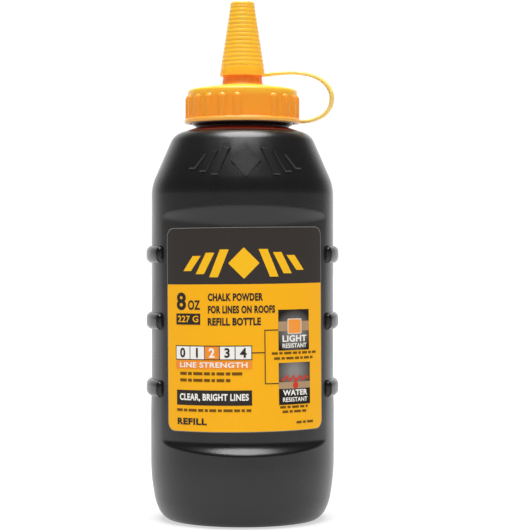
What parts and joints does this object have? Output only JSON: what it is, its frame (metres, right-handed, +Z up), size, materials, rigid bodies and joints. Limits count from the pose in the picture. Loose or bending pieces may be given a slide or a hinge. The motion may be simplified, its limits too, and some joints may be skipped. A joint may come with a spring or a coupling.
{
  "type": "chalk refill bottle",
  "caption": "Squeeze bottle of marking chalk powder with a ribbed screw cap, a conical pouring spout and a tip cap held by a strap.",
  "frame": {"origin": "centre of the bottle's base, on the surface that it stands on", "axes": "+Z up along the bottle, towards the tip cap; the front label faces -Y; the tether strap stands out towards +X"},
  "size_m": [0.0662, 0.063, 0.1775],
  "materials": {
    "bottle": "satin",
    "chalk": "matte",
    "front_label": "satin",
    "rear_label": "satin",
    "washer": "matte",
    "screw_cap": "satin",
    "strap": "satin",
    "tip_cap": "satin"
  },
  "bodies": {
    "bottle": {"bottle": "bottle", "chalk_powder": "chalk", "front_label": "front_label", "rear_label": "rear_label"},
    "cap_liner": {"sealing_washer": "washer"},
    "screw_cap": {"screw_cap": "screw_cap", "tether_strap": "strap"},
    "tip_cap": {"tip_cap": "tip_cap"}
  },
  "joints": [
    {"name": "cap_lift", "type": "slide", "parent": "bottle", "child": "cap_liner", "axis": [0, 0, 1], "range_m": [0, 0.0127]},
    {"name": "cap_turn", "type": "hinge", "parent": "cap_liner", "child": "screw_cap", "pos_m": [0, 0, 0.1359], "axis": [0, 0, 1], "range_deg": [0, 1080]},
    {"name": "tip_cap_pull", "type": "slide", "parent": "screw_cap", "child": "tip_cap", "axis": [0, 0, 1], "range_m": [0, 0.02], "deforming": ["tether_strap"]}
  ],
  "couplings": [
    {"joint": "cap_lift", "follows": "cap_turn", "m_per_rad": 0.00067322}
  ]
}
